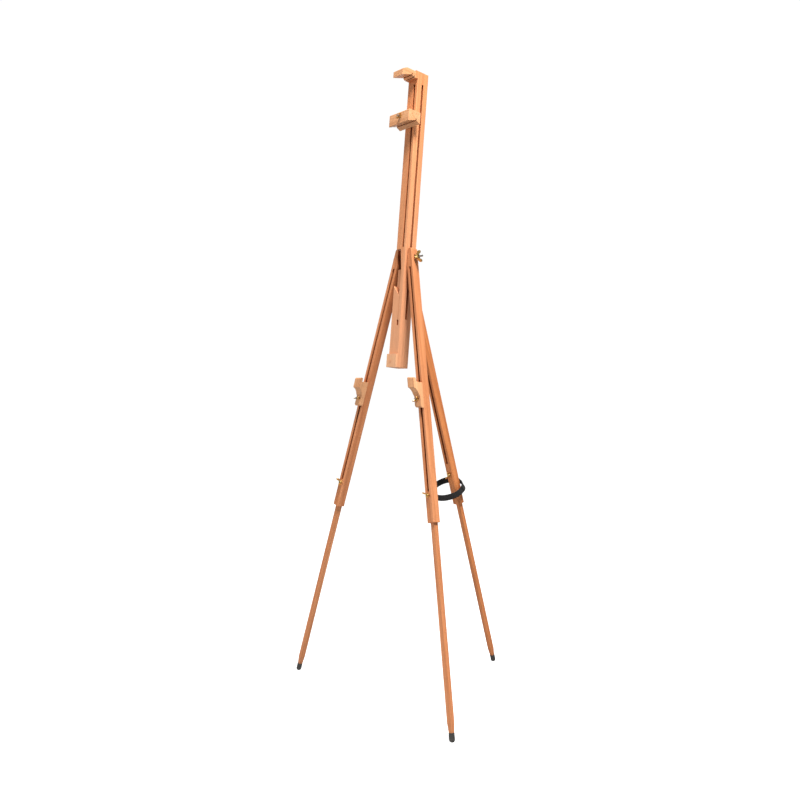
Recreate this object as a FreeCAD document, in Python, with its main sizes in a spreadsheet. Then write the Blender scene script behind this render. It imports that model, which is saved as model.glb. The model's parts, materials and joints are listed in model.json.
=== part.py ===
"""Tripod field easel, open and standing, in millimetres.

The floor is z = 0, +Z is up and +X is the wing-nut side. The front, where the canvas goes, faces -Y.
The origin lies on the floor midway between the front and the rear feet; the mast, the head and the
rear leg lie in the plane x = 0.
Each wooden member is drawn upright in its own frame and then set down at its lean by a Placement.
"""

import FreeCAD
import Part
import Sketcher
import os

DIMENSIONS = (
    # the stance
    ("head_height", 1388),
    ("head_setback", 128.5),
    ("head_lean", 6.67),
    ("mast_lean", 5.42),
    ("leg_splay", 13.97),
    ("rear_lean", 16.7),
    # the mast: a front rail and a back rail with a gap between them for the head bolt
    ("mast_width", 45),
    ("mast_depth", 44),
    ("mast_above_bolt", 598),
    ("mast_below_bolt", 352),
    ("slot_width", 8),
    ("slot_above_bolt", 559),
    ("slot_below_bolt", 198),
    ("track_offset", 8),
    ("track_bottom", 32),
    ("track_lip", 4.5),
    ("track_room", 14),
    ("track_room_depth", 5),
    ("end_slot_top", 201),
    ("end_slot_bottom", 218),
    ("seam_width", 1.4),
    ("seam_depth", 1.2),
    ("relief_depth", 14),
    ("relief_window", 36),
    ("relief_top", 27),
    ("relief_bulge", 44),
    ("relief_shoulder", 90),
    ("relief_tip", 122),
    ("stop_height", 42),
    ("stop_thickness", 8),
    ("plug_radius", 5),
    # the fixed hook on top of the mast
    ("hook_front", 87),
    ("hook_back", 31),
    ("hook_top", 594),
    ("hook_lip_bottom", 566),
    ("hook_arch", 578),
    ("hook_heel", 573),
    ("hook_slope_length", 18),
    ("hook_slope_drop", 9),
    ("groove_width", 4),
    ("groove_height", 5),
    # the sliding clamp that holds the top edge of the canvas
    ("clamp_width", 96),
    ("clamp_front", 70),
    ("clamp_back", 22.4),
    ("clamp_top", 455),
    ("clamp_bottom", 417),
    ("clamp_arch", 427),
    ("clamp_bolt_level", 439),
    ("clamp_bolt_radius", 2.5),
    ("clamp_pin_radius", 1.2),
    # the upper legs: box sections with a slot down the front and room for the lower leg
    ("leg_width", 26.4),
    ("leg_offset", 30.9),
    ("leg_top", 28),
    ("leg_bottom", 838),
    ("leg_inner", 24.5),
    ("leg_corner", 5),
    ("leg_slot_top", 33),
    ("leg_slot_bottom", 747),
    ("leg_room_top", 60),
    ("leg_room", 15.2),
    ("leg_lip", 3.8),
    ("leg_rail_depth", 3.5),
    ("leg_rail_width", 11),
    ("leg_lock_level", 757),
    ("bolt_hole_low", 6.5),
    ("bolt_hole_high", 5.2),
    ("wood_round", 1.2),
    # the lower legs and the feet
    ("bar_width", 14.8),
    ("bar_overlap", 180),
    ("bar_offset", 1.7),
    ("bar_taper", 36),
    ("bar_tip", 9.5),
    ("bar_end", 7),
    ("foot_radius", 8.5),
    ("foot_centre", 6.9),
    ("foot_height", 17),
    # the rear leg
    ("rear_pivot_back", 44),
    ("rear_pivot_drop", 106),
    ("rear_bottom", 728),
    ("rear_slot_bottom", 581),
    ("rear_lock_level", 619),
    # the head: a forked block behind the mast between two side plates
    ("head_bolt_radius", 3),
    ("head_bolt_reach", 80),
    ("head_bolt_seat", 51.5),
    ("washer_radius", 7),
    ("washer_thickness", 1.2),
    ("plate_inner", 22.8),
    ("plate_thickness", 1.5),
    ("block_front", 29),
    ("block_back", 52),
    ("block_crown", 34.5),
    ("block_top", 34),
    ("block_bottom", 120),
    ("fork_gap", 27.1),
    ("fork_room", 17),
    ("hinge_pin_radius", 3),
    ("screw_radius", 1.7),
    ("screw_head_radius", 3.5),
    # the canvas brackets on the front legs
    ("bracket_width", 27),
    ("bracket_back", 13.4),
    ("bracket_front", 49),
    ("bracket_lip_top", 401),
    ("bracket_ledge", 413),
    ("bracket_chin", 432),
    ("bracket_waist", 454),
    ("bracket_foot", 490),
    ("bracket_thin", 26),
    ("bracket_bolt_level", 468),
    ("bracket_head_side", 10),
    ("bracket_head_height", 3.1),
    # brass wing nuts, wing screws and their threaded bushes
    ("hub_radius", 6),
    ("hub_top_radius", 4.4),
    ("hub_height", 7.5),
    ("wing_reach", 13),
    ("wing_top", 15),
    ("wing_thickness", 2.4),
    ("wing_round", 3.2),
    ("head_nut_scale", 1.35),
    ("clamp_nut_scale", 0.8),
    ("bracket_nut_scale", 0.85),
    ("lock_radius", 2.5),
    ("bush_radius", 4),
    ("running_gap", 0.05),
    # the tying strap round the rear leg
    ("strap_level", 675),
    ("strap_width", 21),
    ("strap_thickness", 1.8),
    ("strap_long", 55),
    ("strap_short", 40),
    ("strap_bearing", 229.2),
    ("strap_droop", 15.5),
    ("strap_tilt", 38),
    ("strap_out", 28),
    ("strap_near", 5),
)

document = FreeCAD.newDocument("FieldEasel")
sheet = document.addObject("Spreadsheet::Sheet", "Dims")
for row, (alias, number) in enumerate(DIMENSIONS, start=1):
    sheet.set("A%d" % row, alias)
    sheet.set("B%d" % row, str(number))
    sheet.setAlias("B%d" % row, alias)
document.recompute()

pieces = []


def size(alias):
    """A driving dimension, read from the sheet."""
    return float(getattr(sheet, alias))


def bind(item, prop, formula):
    """Drive one property of an object from the sheet; every word of the formula with a # is an alias."""
    item.setExpression(prop, formula.replace("#", "Dims."))


def finish_piece(item, label, placement):
    """Name a finished sub-part, set it in its place and remember it for export."""
    item.Label = label
    item.Placement = placement
    pieces.append(item)
    return item


# Part primitives with every size and place driven from the sheet


def place_bound(item, x, y, z):
    bind(item, "Placement.Base.x", x)
    bind(item, "Placement.Base.y", y)
    bind(item, "Placement.Base.z", z)


def box(name, length, width, height, x, y, z):
    item = document.addObject("Part::Box", name)
    bind(item, "Length", length)
    bind(item, "Width", width)
    bind(item, "Height", height)
    place_bound(item, x, y, z)
    return item


AXIS_TURNS = {
    "x": FreeCAD.Rotation(FreeCAD.Vector(0, 1, 0), 90),
    "y": FreeCAD.Rotation(FreeCAD.Vector(1, 0, 0), -90),
    "z": FreeCAD.Rotation(),
}


def cylinder(name, radius, height, axis, x, y, z):
    """A cylinder that starts at a point and runs along +X, +Y or +Z."""
    item = document.addObject("Part::Cylinder", name)
    bind(item, "Radius", radius)
    bind(item, "Height", height)
    item.Placement.Rotation = AXIS_TURNS[axis]
    place_bound(item, x, y, z)
    return item


def fuse(name, shapes):
    item = document.addObject("Part::MultiFuse", name)
    item.Shapes = shapes
    return item


def cut(name, base, tool):
    item = document.addObject("Part::Cut", name)
    item.Base = base
    item.Tool = tool
    return item


def group(name, shapes):
    """Separate solids that share one node."""
    item = document.addObject("Part::Compound", name)
    item.Links = shapes
    return item


# PartDesign bodies drawn from outlines whose points are driven from the sheet


def origin_plane(body, role):
    for feature in body.Origin.OriginFeatures:
        if feature.Role == role:
            return feature
    raise ValueError(role)


def new_sketch(body, name, role):
    sketch = body.newObject("Sketcher::SketchObject", name)
    sketch.AttachmentSupport = [(origin_plane(body, role), "")]
    sketch.MapMode = "FlatFace"
    return sketch


def formula_value(item, formula):
    return float(item.evalExpression(formula.replace("#", "Dims.")))


def pin_point(sketch, edge, end, across, up):
    """Hold one end of a sketch edge at a place worked out from the sheet."""
    for kind, formula in (("DistanceX", across), ("DistanceY", up)):
        value = formula_value(sketch, formula)
        index = sketch.addConstraint(Sketcher.Constraint(kind, -1, 1, edge, end, value))
        bind(sketch, "Constraints[%d]" % index, formula)


def draw_outline(sketch, outline):
    """Close a polygon through the outline's points, each (across, up) a formula."""
    values = []
    for across, up in outline:
        values.append(FreeCAD.Vector(formula_value(sketch, across), formula_value(sketch, up), 0))
    first = sketch.GeometryCount
    count = len(values)
    for index in range(count):
        sketch.addGeometry(Part.LineSegment(values[index], values[(index + 1) % count]), False)
    for index in range(count):
        following = first + (index + 1) % count
        sketch.addConstraint(Sketcher.Constraint("Coincident", first + index, 2, following, 1))
    for index, (across, up) in enumerate(outline):
        pin_point(sketch, first + index, 1, across, up)


def rectangle(left, bottom, right, top):
    return ((left, bottom), (right, bottom), (right, top), (left, top))


def extrude(body, kind, name, role, outline, length, offset):
    sketch = new_sketch(body, name + "Sketch", role)
    bind(sketch, "AttachmentOffset.Base.z", offset)
    draw_outline(sketch, outline)
    feature = body.newObject(kind, name)
    feature.Profile = sketch
    bind(feature, "Length", length)
    document.recompute()
    return feature


def pad(body, name, role, outline, length, offset="0"):
    """Grow an outline along its plane's normal, from an offset along that normal."""
    return extrude(body, "PartDesign::Pad", name, role, outline, length, offset)


def pocket(body, name, role, outline, length, offset="0"):
    """Cut an outline against its plane's normal, and make sure that something was cut."""
    before = body.Shape.Volume
    feature = extrude(body, "PartDesign::Pocket", name, role, outline, length, offset)
    if body.Shape.Volume >= before - 0.001:
        raise RuntimeError(name + " cuts nothing")
    return feature


def round_edges(body, name, radius, chosen):
    """Round the edges of the body that the test picks out."""
    base = body.Tip
    names = []
    for index, edge in enumerate(base.Shape.Edges, start=1):
        if chosen(edge):
            names.append("Edge%d" % index)
    feature = body.newObject("PartDesign::Fillet", name)
    feature.Base = (base, names)
    bind(feature, "Radius", radius)
    document.recompute()
    return feature


def edge_direction(edge):
    if edge.Curve.TypeId != "Part::GeomLine":
        return None
    step = edge.Vertexes[-1].Point - edge.Vertexes[0].Point
    return step.normalize()


def runs_along(edge, axis):
    direction = edge_direction(edge)
    if direction is None:
        return False
    return abs(direction[axis]) > 0.999


# the frames in which the members are drawn


def turn(axis, degrees):
    return FreeCAD.Placement(FreeCAD.Vector(), FreeCAD.Rotation(FreeCAD.Vector(*axis), degrees))


def shift(x, y, z):
    return FreeCAD.Placement(FreeCAD.Vector(x, y, z), FreeCAD.Rotation())


BOLT_CENTRE = shift(0, -size("head_setback"), size("head_height"))
HEAD_FRAME = BOLT_CENTRE.multiply(turn((1, 0, 0), -size("head_lean")))
MAST_FRAME = BOLT_CENTRE.multiply(turn((1, 0, 0), -size("mast_lean")))


def leg_frame(side):
    """The frame of a front leg: its origin is where the leg rocks on the head bolt."""
    rocker = HEAD_FRAME.multiply(shift(side * size("leg_offset"), 0, 0))
    return rocker.multiply(turn((0, 1, 0), -side * size("leg_splay")))


REAR_PIVOT = HEAD_FRAME.multVec(
    FreeCAD.Vector(0, size("rear_pivot_back"), -size("rear_pivot_drop"))
)
REAR_FRAME = shift(*REAR_PIVOT).multiply(turn((1, 0, 0), size("rear_lean")))


def reach_to_floor(frame):
    """How far down its own leg a foot's centre lies when the foot just touches the floor."""
    start = frame.multVec(FreeCAD.Vector(0, size("bar_offset"), 0))
    down = frame.Rotation.multVec(FreeCAD.Vector(0, 0, -1))
    return (start.z - size("foot_centre")) / -down.z


# the mast


def mast_box(label, front, depth, bottom, height):
    """A plain board of the mast's full width."""
    return box(label, "#mast_width", depth, height, "-#mast_width/2", front, bottom)


def mast_piece(label, item):
    return finish_piece(group(label + "Piece", [item]), label, MAST_FRAME)


rail_depth = "(#mast_depth - #slot_width)/2"
mast_length = "#mast_above_bolt + #mast_below_bolt"

front_rail = document.addObject("PartDesign::Body", "FrontRailBody")
pad(
    front_rail,
    "FrontRailPad",
    "XZ_Plane",
    rectangle("-#mast_width/2", "-#mast_below_bolt", "#mast_width/2", "#mast_above_bolt"),
    rail_depth,
    offset="#slot_width/2",
)
round_edges(
    front_rail,
    "FrontRailRounds",
    "#wood_round",
    lambda edge: runs_along(edge, 2) and edge.Vertexes[0].Y < -size("mast_depth") / 2 + 0.1,
)


def rail_channel(name, half, bottom, top, depth, below_face="0"):
    """A channel up the front rail, centred on the track and cut from a depth below its front face."""
    pocket(
        front_rail,
        name,
        "XZ_Plane",
        rectangle("#track_offset - " + half, bottom, "#track_offset + " + half, top),
        depth,
        offset="#mast_depth/2 - " + below_face,
    )


# the clamp's track, undercut behind its lips; below the head only a seam and a short end slot are left of it
rail_channel(
    "TrackSlot", "#slot_width/2", "#track_bottom", "#slot_above_bolt", "#track_lip + #track_room_depth/2"
)
rail_channel(
    "TrackRoom", "#track_room/2", "#track_bottom", "#slot_above_bolt", "#track_room_depth", "#track_lip"
)
rail_channel("EndSlot", "#slot_width/2", "-#end_slot_bottom", "-#end_slot_top", "#track_lip * 2")
rail_channel("Seam", "#seam_width/2", "-#end_slot_top - 1", "-#relief_tip - 3", "#seam_depth")

# the hollow beside the left leg's head, open to the left and coming to a point below
pocket(
    front_rail,
    "Relief",
    "XZ_Plane",
    (
        ("-#mast_width/2 - 1", "#relief_top"),
        ("-2", "#relief_top"),
        ("#track_offset", "-#relief_bulge"),
        ("#track_offset - 3", "-#relief_tip"),
        ("-#mast_width/2 - 1", "-#relief_shoulder"),
    ),
    "#relief_depth",
    offset="#mast_depth/2",
)
# its upper part is open right through the rail
pocket(
    front_rail,
    "ReliefWindow",
    "XZ_Plane",
    (
        ("-#mast_width/2 - 1", "-#relief_window"),
        ("#track_offset - 1.5", "-#relief_window"),
        ("-2", "#relief_top"),
        ("-#mast_width/2 - 1", "#relief_top"),
    ),
    rail_depth,
    offset="#mast_depth/2",
)
finish_piece(front_rail, "mast_front_rail", MAST_FRAME)

back_rail = document.addObject("PartDesign::Body", "BackRailBody")
pad(
    back_rail,
    "BackRailPad",
    "XZ_Plane",
    rectangle("-#mast_width/2", "-#mast_below_bolt", "#mast_width/2", "#mast_above_bolt"),
    rail_depth,
    offset="-#mast_depth/2",
)
round_edges(
    back_rail,
    "BackRailRounds",
    "#wood_round",
    lambda edge: runs_along(edge, 2) and edge.Vertexes[0].Y > size("mast_depth") / 2 - 0.1,
)
finish_piece(back_rail, "mast_back_rail", MAST_FRAME)

mast_piece(
    "mast_top_spacer",
    mast_box(
        "TopSpacer", "-#slot_width/2", "#slot_width", "#slot_above_bolt",
        "#mast_above_bolt - #slot_above_bolt",
    ),
)
mast_piece(
    "mast_bottom_spacer",
    mast_box(
        "BottomSpacer", "-#slot_width/2", "#slot_width", "-#mast_below_bolt",
        "#mast_below_bolt - #slot_below_bolt",
    ),
)

# the block on the foot of the mast that keeps it from pulling out of the head
stop_front = "-#mast_depth/2 - #stop_thickness"
stop_level = "-#mast_below_bolt + #stop_height * 0.45"
stop_blank = mast_box("StopBlank", stop_front, "#stop_thickness", "-#mast_below_bolt", "#stop_height")
stop_hole = cylinder("StopHole", "#plug_radius", "#stop_thickness", "y", "-5", stop_front, stop_level)
finish_piece(cut("StopBlock", stop_blank, stop_hole), "mast_stop_block", MAST_FRAME)
stop_plug = cylinder(
    "StopPlug", "#plug_radius", "#stop_thickness + 0.6", "y", "-5", stop_front + " - 0.6", stop_level
)
mast_piece("mast_stop_plug", stop_plug)

# the hook: its underside is arched and has two grooves for the edge of a canvas


def arched_underside(front, lip, arch, heel, back, grooves):
    """The lower edge of a canvas hook from its front lip to its heel, with its grooves."""
    points = [("-" + front, lip)]
    for place, drop in grooves:
        points.append(("-%s" % place, "%s - %s" % (arch, drop)))
        points.append(("-%s" % place, "%s - %s + #groove_height" % (arch, drop)))
        points.append(("-%s + #groove_width" % place, "%s - %s + #groove_height" % (arch, drop)))
        points.append(("-%s + #groove_width" % place, "%s - %s - 1" % (arch, drop)))
    points.append(("-" + back, heel))
    return points


hook = document.addObject("PartDesign::Body", "HookBody")
hook_outline = arched_underside(
    "#hook_front", "#hook_lip_bottom", "#hook_arch", "#hook_heel", "#hook_back",
    (("49", "0"), ("40", "5")),
)
hook_outline.append(("-#hook_back", "#hook_top"))
hook_outline.append(("-#hook_front + #hook_slope_length", "#hook_top"))
hook_outline.append(("-#hook_front", "#hook_top - #hook_slope_drop"))
pad(hook, "HookPad", "YZ_Plane", hook_outline, "#mast_width", offset="-#mast_width/2")
round_edges(
    hook,
    "HookRounds",
    "#wood_round * 2",
    lambda edge: runs_along(edge, 0) and edge.Vertexes[0].Y < -size("hook_front") + 20
    and edge.Vertexes[0].Z > size("hook_lip_bottom") + 5,
)
finish_piece(hook, "mast_hook", MAST_FRAME)

mast_piece(
    "mast_hook_packer",
    mast_box(
        "HookPacker", "-#hook_back", "#hook_back - #mast_depth/2", "#hook_heel",
        "#mast_above_bolt - #hook_heel",
    ),
)

# the sliding clamp

clamp = document.addObject("PartDesign::Body", "ClampBody")
clamp_outline = arched_underside(
    "#clamp_front", "#clamp_bottom", "#clamp_arch", "#clamp_bottom + 2", "#clamp_back",
    (("41", "0"),),
)
clamp_outline.append(("-#clamp_back", "#clamp_top"))
clamp_outline.append(("-#clamp_front", "#clamp_top"))
pad(clamp, "ClampPad", "YZ_Plane", clamp_outline, "#clamp_width", offset="-#clamp_width/2")
round_edges(
    clamp,
    "ClampRounds",
    "#wood_round * 1.5",
    lambda edge: edge.Vertexes[0].Y < -size("clamp_front") + 0.1
    and edge.Vertexes[-1].Y < -size("clamp_front") + 0.1,
)
clamp_blank = group("ClampBlank", [clamp])
clamp_bore = cylinder(
    "ClampBore", "#clamp_bolt_radius", "#clamp_front + 5", "y",
    "#track_offset", "-#clamp_front - 1", "#clamp_bolt_level",
)
CLAMP_PINS = (("27", "431"), ("40", "447"), ("57", "443"))
pin_holes = []
for number, (back, level) in enumerate(CLAMP_PINS):
    pin_holes.append(
        cylinder(
            "ClampPinHole%d" % number, "#clamp_pin_radius", "15", "x",
            "#clamp_width/2 - 14.8", "-" + back, level,
        )
    )
clamp_tools = fuse("ClampTools", [clamp_bore] + pin_holes)
finish_piece(cut("ClampBlock", clamp_blank, clamp_tools), "canvas_clamp", MAST_FRAME)

pins = []
for number, (back, level) in enumerate(CLAMP_PINS):
    pins.append(
        cylinder(
            "ClampPin%d" % number, "#clamp_pin_radius", "14.6", "x",
            "#clamp_width/2 - 14.8", "-" + back, level,
        )
    )
finish_piece(group("ClampPins", pins), "clamp_pins", MAST_FRAME)

# the square head of the clamp bolt slides in the track behind its lips
clamp_shank = cylinder(
    "ClampShank", "#clamp_bolt_radius", "#clamp_front + 15 - #mast_depth/2 + #track_lip + 2", "y",
    "#track_offset", "-#clamp_front - 15", "#clamp_bolt_level",
)
clamp_head = box(
    "ClampHead", "#track_room - 1", "#track_room_depth - 0.6", "#track_room",
    "#track_offset - #track_room/2 + 0.5", "-#mast_depth/2 + #track_lip + 0.3",
    "#clamp_bolt_level - #track_room/2",
)
finish_piece(fuse("ClampBolt", [clamp_shank, clamp_head]), "clamp_bolt", MAST_FRAME)


# brass wing nuts and wing screws, drawn with the seat at z = 0 and the axis along +Z


def wing_outline(scale):
    """Both wings as one outline: a butterfly that stands on the hub."""
    half = (
        ("#hub_top_radius * 0.5", "1"),
        ("#hub_radius", "1"),
        ("#wing_reach", "#wing_top * 0.5"),
        ("#wing_reach + 1.5", "#wing_top"),
        ("#wing_reach - 4.5", "#wing_top + 1"),
        ("#hub_top_radius * 0.9", "#hub_height"),
    )
    half = [("(%s) * %s" % (across, scale), "(%s) * %s" % (up, scale)) for across, up in half]
    other = [("-(%s)" % across, up) for across, up in reversed(half)]
    return half + other


def wing_piece(label, placement, scale="1", bore=None, shank_radius=None, shank_length=None):
    """A wing nut when a bore is given, a wing screw when a shank is given."""
    body = document.addObject("PartDesign::Body", label + "Body")
    thickness = "#wing_thickness * " + scale
    pad(
        body, label + "Wings", "XZ_Plane", wing_outline(scale), thickness, offset="-%s/2" % thickness
    )
    smallest = formula_value(body, scale)
    round_edges(
        body,
        label + "WingRounds",
        "#wing_round * " + scale,
        lambda edge: runs_along(edge, 1) and edge.Vertexes[0].Z > size("wing_top") * 0.4 * smallest
        and abs(edge.Vertexes[0].X) > size("hub_radius") * smallest,
    )
    wings = group(label + "WingPair", [body])
    hub = document.addObject("Part::Cone", label + "Hub")
    bind(hub, "Radius1", "#hub_radius * " + scale)
    bind(hub, "Radius2", "#hub_top_radius * " + scale)
    bind(hub, "Height", "#hub_height * " + scale)
    solids = [wings, hub]
    if shank_length:
        solids.append(
            cylinder(label + "Shank", shank_radius, shank_length, "z", "0", "0", "-(%s)" % shank_length)
        )
    whole = fuse(label + "Whole", solids)
    if bore:
        drill = cylinder(label + "Bore", bore, "#wing_top * 2", "z", "0", "0", "-1")
        whole = cut(label + "Drilled", whole, drill)
    return finish_piece(whole, label, placement)


# how a piece drawn along +Z is turned to point forwards or to the right
POINT_FORWARD = turn((1, 0, 0), 90)
POINT_RIGHT = turn((0, 1, 0), 90)

clamp_nut_seat = MAST_FRAME.multiply(
    shift(size("track_offset"), -size("clamp_front") - 0.2, size("clamp_bolt_level"))
)
wing_piece(
    "clamp_wing_nut",
    clamp_nut_seat.multiply(POINT_FORWARD).multiply(turn((0, 0, 1), 35)),
    "#clamp_nut_scale",
    bore="#clamp_bolt_radius + #running_gap",
)

# the head

block = document.addObject("PartDesign::Body", "HeadBlockBody")
pad(
    block,
    "BlockPad",
    "YZ_Plane",
    (
        ("#block_front", "-#block_top"),
        ("#block_crown", "-#block_top"),
        ("#block_back", "-#block_bottom + 16"),
        ("#block_back", "-#block_bottom + 8"),
        ("#block_back - 8", "-#block_bottom"),
        ("#block_front + 6", "-#block_bottom"),
        ("#block_front", "-#block_bottom + 6"),
    ),
    "#plate_inner * 2",
    offset="-#plate_inner",
)
pocket(
    block,
    "BlockFork",
    "XZ_Plane",
    rectangle(
        "-#fork_gap/2", "-#block_bottom - 5", "#fork_gap/2", "-#rear_pivot_drop + #fork_room"
    ),
    "#block_back * 2",
    offset="0",
)
block_blank = group("BlockBlank", [block])
hinge_hole = cylinder(
    "BlockHingeHole", "#hinge_pin_radius", "#plate_inner * 3", "x",
    "-#plate_inner * 1.5", "#rear_pivot_back", "-#rear_pivot_drop",
)
PLATE_SCREWS = (("#block_front + 4", "-#block_top - 14"), ("#block_front + 9", "-#block_top - 42"))
block_tools = [hinge_hole]
plate_screws = []
for side in (-1, 1):
    for number, (back, level) in enumerate(PLATE_SCREWS):
        name = "PlateScrew%s%d" % ("Left" if side < 0 else "Right", number)
        start = "#plate_inner - 9" if side > 0 else "-#plate_inner"
        block_tools.append(
            cylinder(name + "Hole", "#screw_radius", "9", "x", start, back, level)
        )
        shank = cylinder(name + "Shank", "#screw_radius", "9", "x", start, back, level)
        seat = "#plate_inner" if side > 0 else "-#plate_inner - #plate_thickness"
        head = cylinder(
            name + "Head", "#screw_head_radius", "#plate_thickness", "x", seat, back, level
        )
        plate_screws.append(fuse(name, [shank, head]))
finish_piece(cut("HeadBlock", block_blank, fuse("BlockTools", block_tools)), "head_block", HEAD_FRAME)
finish_piece(group("PlateScrews", plate_screws), "head_plate_screws", HEAD_FRAME)

for side, label in ((-1, "head_plate_left"), (1, "head_plate_right")):
    plate = document.addObject("PartDesign::Body", label + "Body")
    pad(
        plate,
        label + "Pad",
        "YZ_Plane",
        (
            ("-8", "9"),
            ("9", "11"),
            ("#block_crown", "-#block_top"),
            ("#block_back", "-#block_bottom + 16"),
            ("#block_back", "-#block_bottom + 8"),
            ("#block_back - 8", "-#block_bottom + 1"),
            ("#block_front + 5", "-#block_bottom + 1"),
            ("-10", "-9"),
            ("-11", "0"),
        ),
        "#plate_thickness",
    )
    plate_piece = group(label + "Blank", [plate])
    plate.Placement = shift(
        size("plate_inner") if side > 0 else -size("plate_inner") - size("plate_thickness"), 0, 0
    )
    start = "#plate_inner - 1" if side > 0 else "-#plate_inner - #plate_thickness - 1"
    holes = [
        cylinder(
            label + "BoltHole", "#head_bolt_radius + #running_gap", "5", "x", start, "0", "0"
        ),
        cylinder(
            label + "PinHole", "#hinge_pin_radius", "5", "x",
            start, "#rear_pivot_back", "-#rear_pivot_drop",
        ),
    ]
    for number, (back, level) in enumerate(PLATE_SCREWS):
        holes.append(
            cylinder(
                "%sScrewHole%d" % (label, number), "#screw_head_radius", "5", "x", start, back, level
            )
        )
    finish_piece(cut(label + "Plate", plate_piece, fuse(label + "Holes", holes)), label, HEAD_FRAME)

hinge_pin = cylinder(
    "HingePin", "#hinge_pin_radius", "(#plate_inner + #plate_thickness) * 2", "x",
    "-#plate_inner - #plate_thickness", "#rear_pivot_back", "-#rear_pivot_drop",
)
finish_piece(group("HingePinPiece", [hinge_pin]), "rear_hinge_pin", HEAD_FRAME)

# the head bolt crosses both legs and the mast; its round head is on the left
bolt_shank = cylinder(
    "HeadBoltShank", "#head_bolt_radius",
    "#head_bolt_reach + #head_bolt_seat + #washer_thickness", "x",
    "-#head_bolt_seat - #washer_thickness", "0", "0",
)
bolt_dome = document.addObject("Part::Sphere", "HeadBoltDome")
bind(bolt_dome, "Radius", "#washer_radius * 1.1")
place_bound(bolt_dome, "-#head_bolt_seat - #washer_thickness + #washer_radius * 0.6", "0", "0")
dome_keep = box(
    "HeadBoltDomeKeep", "20", "40", "40",
    "-#head_bolt_seat - #washer_thickness - 20", "-20", "-20",
)
dome = document.addObject("Part::Common", "HeadBoltHead")
dome.Base = bolt_dome
dome.Tool = dome_keep
finish_piece(fuse("HeadBolt", [bolt_shank, dome]), "head_bolt", MAST_FRAME)

washers = []
WASHERS = (("WasherLeft", "-#head_bolt_seat - #washer_thickness"), ("WasherRight", "#head_bolt_seat"))
for name, start in WASHERS:
    ring = cylinder(name + "Ring", "#washer_radius", "#washer_thickness", "x", start, "0", "0")
    hole = cylinder(
        name + "Hole", "#head_bolt_radius", "#washer_thickness + 2", "x", start + " - 1", "0", "0"
    )
    washers.append(cut(name, ring, hole))
finish_piece(group("HeadWashers", washers), "head_washers", MAST_FRAME)

head_nut_seat = MAST_FRAME.multiply(
    shift(size("head_bolt_seat") + size("washer_thickness") + 0.1, 0, 0)
)
wing_piece(
    "head_wing_nut",
    head_nut_seat.multiply(POINT_RIGHT).multiply(turn((0, 0, 1), 20)),
    "#head_nut_scale",
    bore="#head_bolt_radius + #running_gap",
)


# the legs


def front_outline(side):
    """The outline of a front leg seen from the front; its head is cut flat against the mast."""
    lean = "tan(#leg_splay)"
    flare = "cos(#leg_splay)"
    half = "#leg_width/2"
    cheek = "(#leg_offset - #leg_inner)/%s" % flare
    points = (
        ("-" + half, "-#leg_bottom"),
        (half, "-#leg_bottom"),
        (half, "#leg_top - #leg_corner"),
        (half + " - #leg_corner * 0.3", "#leg_top - #leg_corner * 0.3"),
        (half + " - #leg_corner", "#leg_top"),
        ("-%s + #leg_top * %s" % (cheek, lean), "#leg_top"),
        ("-" + half, "(%s - %s)/%s" % (cheek, half, lean)),
    )
    if side > 0:
        return points
    return [("-(%s)" % across, up) for across, up in reversed(points)]


def hollow_leg(body, label, slot_top, slot_bottom, bottom):
    """Cut the room for the lower leg, the front slot and the rail behind its lips."""
    room_front = "-#leg_width/2 + #leg_lip + #leg_rail_depth"
    pocket(
        body,
        label + "Room",
        "XY_Plane",
        rectangle("-#leg_room/2", room_front, "#leg_room/2", room_front + " + #leg_room"),
        "#%s - #leg_room_top" % bottom,
        offset="-#leg_room_top",
    )
    pocket(
        body,
        label + "Slot",
        "XZ_Plane",
        rectangle("-#slot_width/2", "-#" + slot_bottom, "#slot_width/2", "-#" + slot_top),
        "#leg_lip + #leg_rail_depth",
        offset="#leg_width/2",
    )
    pocket(
        body,
        label + "Rail",
        "XZ_Plane",
        rectangle("-#leg_rail_width/2", "-#" + slot_bottom, "#leg_rail_width/2", "-#leg_room_top"),
        "#leg_rail_depth + 0.01",
        offset="#leg_width/2 - #leg_lip",
    )


def long_corner(edge):
    """True for a long edge on the outside corner of a leg."""
    at = edge.Vertexes[0].Point
    near = size("leg_width") / 2 - 0.1
    return runs_along(edge, 2) and edge.Length > 100 and abs(at.x) > near and abs(at.y) > near


def upper_leg(label, outline, slot_top, slot_bottom, bottom, lock_level, holes, frame):
    """A hollow upper leg: the outline is its side, the holes are cut across it at the top."""
    body = document.addObject("PartDesign::Body", label + "Body")
    role, offset = outline[0], "-#leg_width/2"
    pad(body, label + "Pad", role, outline[1], "#leg_width", offset=offset)
    round_edges(body, label + "Rounds", "#wood_round", long_corner)
    hollow_leg(body, label, slot_top, slot_bottom, bottom)
    blank = group(label + "Blank", [body])
    bush_hole = cylinder(
        label + "BushHole", "#bush_radius", "#leg_lip + #leg_rail_depth + 1", "y",
        "0", "-#leg_width/2 - 1", "-#" + lock_level,
    )
    tools = fuse(label + "Tools", holes + [bush_hole])
    finish_piece(cut(label + "Cut", blank, tools), label, frame)


def lock_bush(label, level, frame):
    """The threaded brass bush in the front wall that the locking screw turns in."""
    wall = "#leg_lip + #leg_rail_depth"
    start = "-#leg_width/2"
    ring = cylinder(label + "Ring", "#bush_radius", wall, "y", "0", start, "-#" + level)
    bore = cylinder(
        label + "Bore", "#lock_radius + #running_gap", wall + " + 2", "y",
        "0", start + " - 1", "-#" + level,
    )
    finish_piece(cut(label + "Bush", ring, bore), label, frame)


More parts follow.
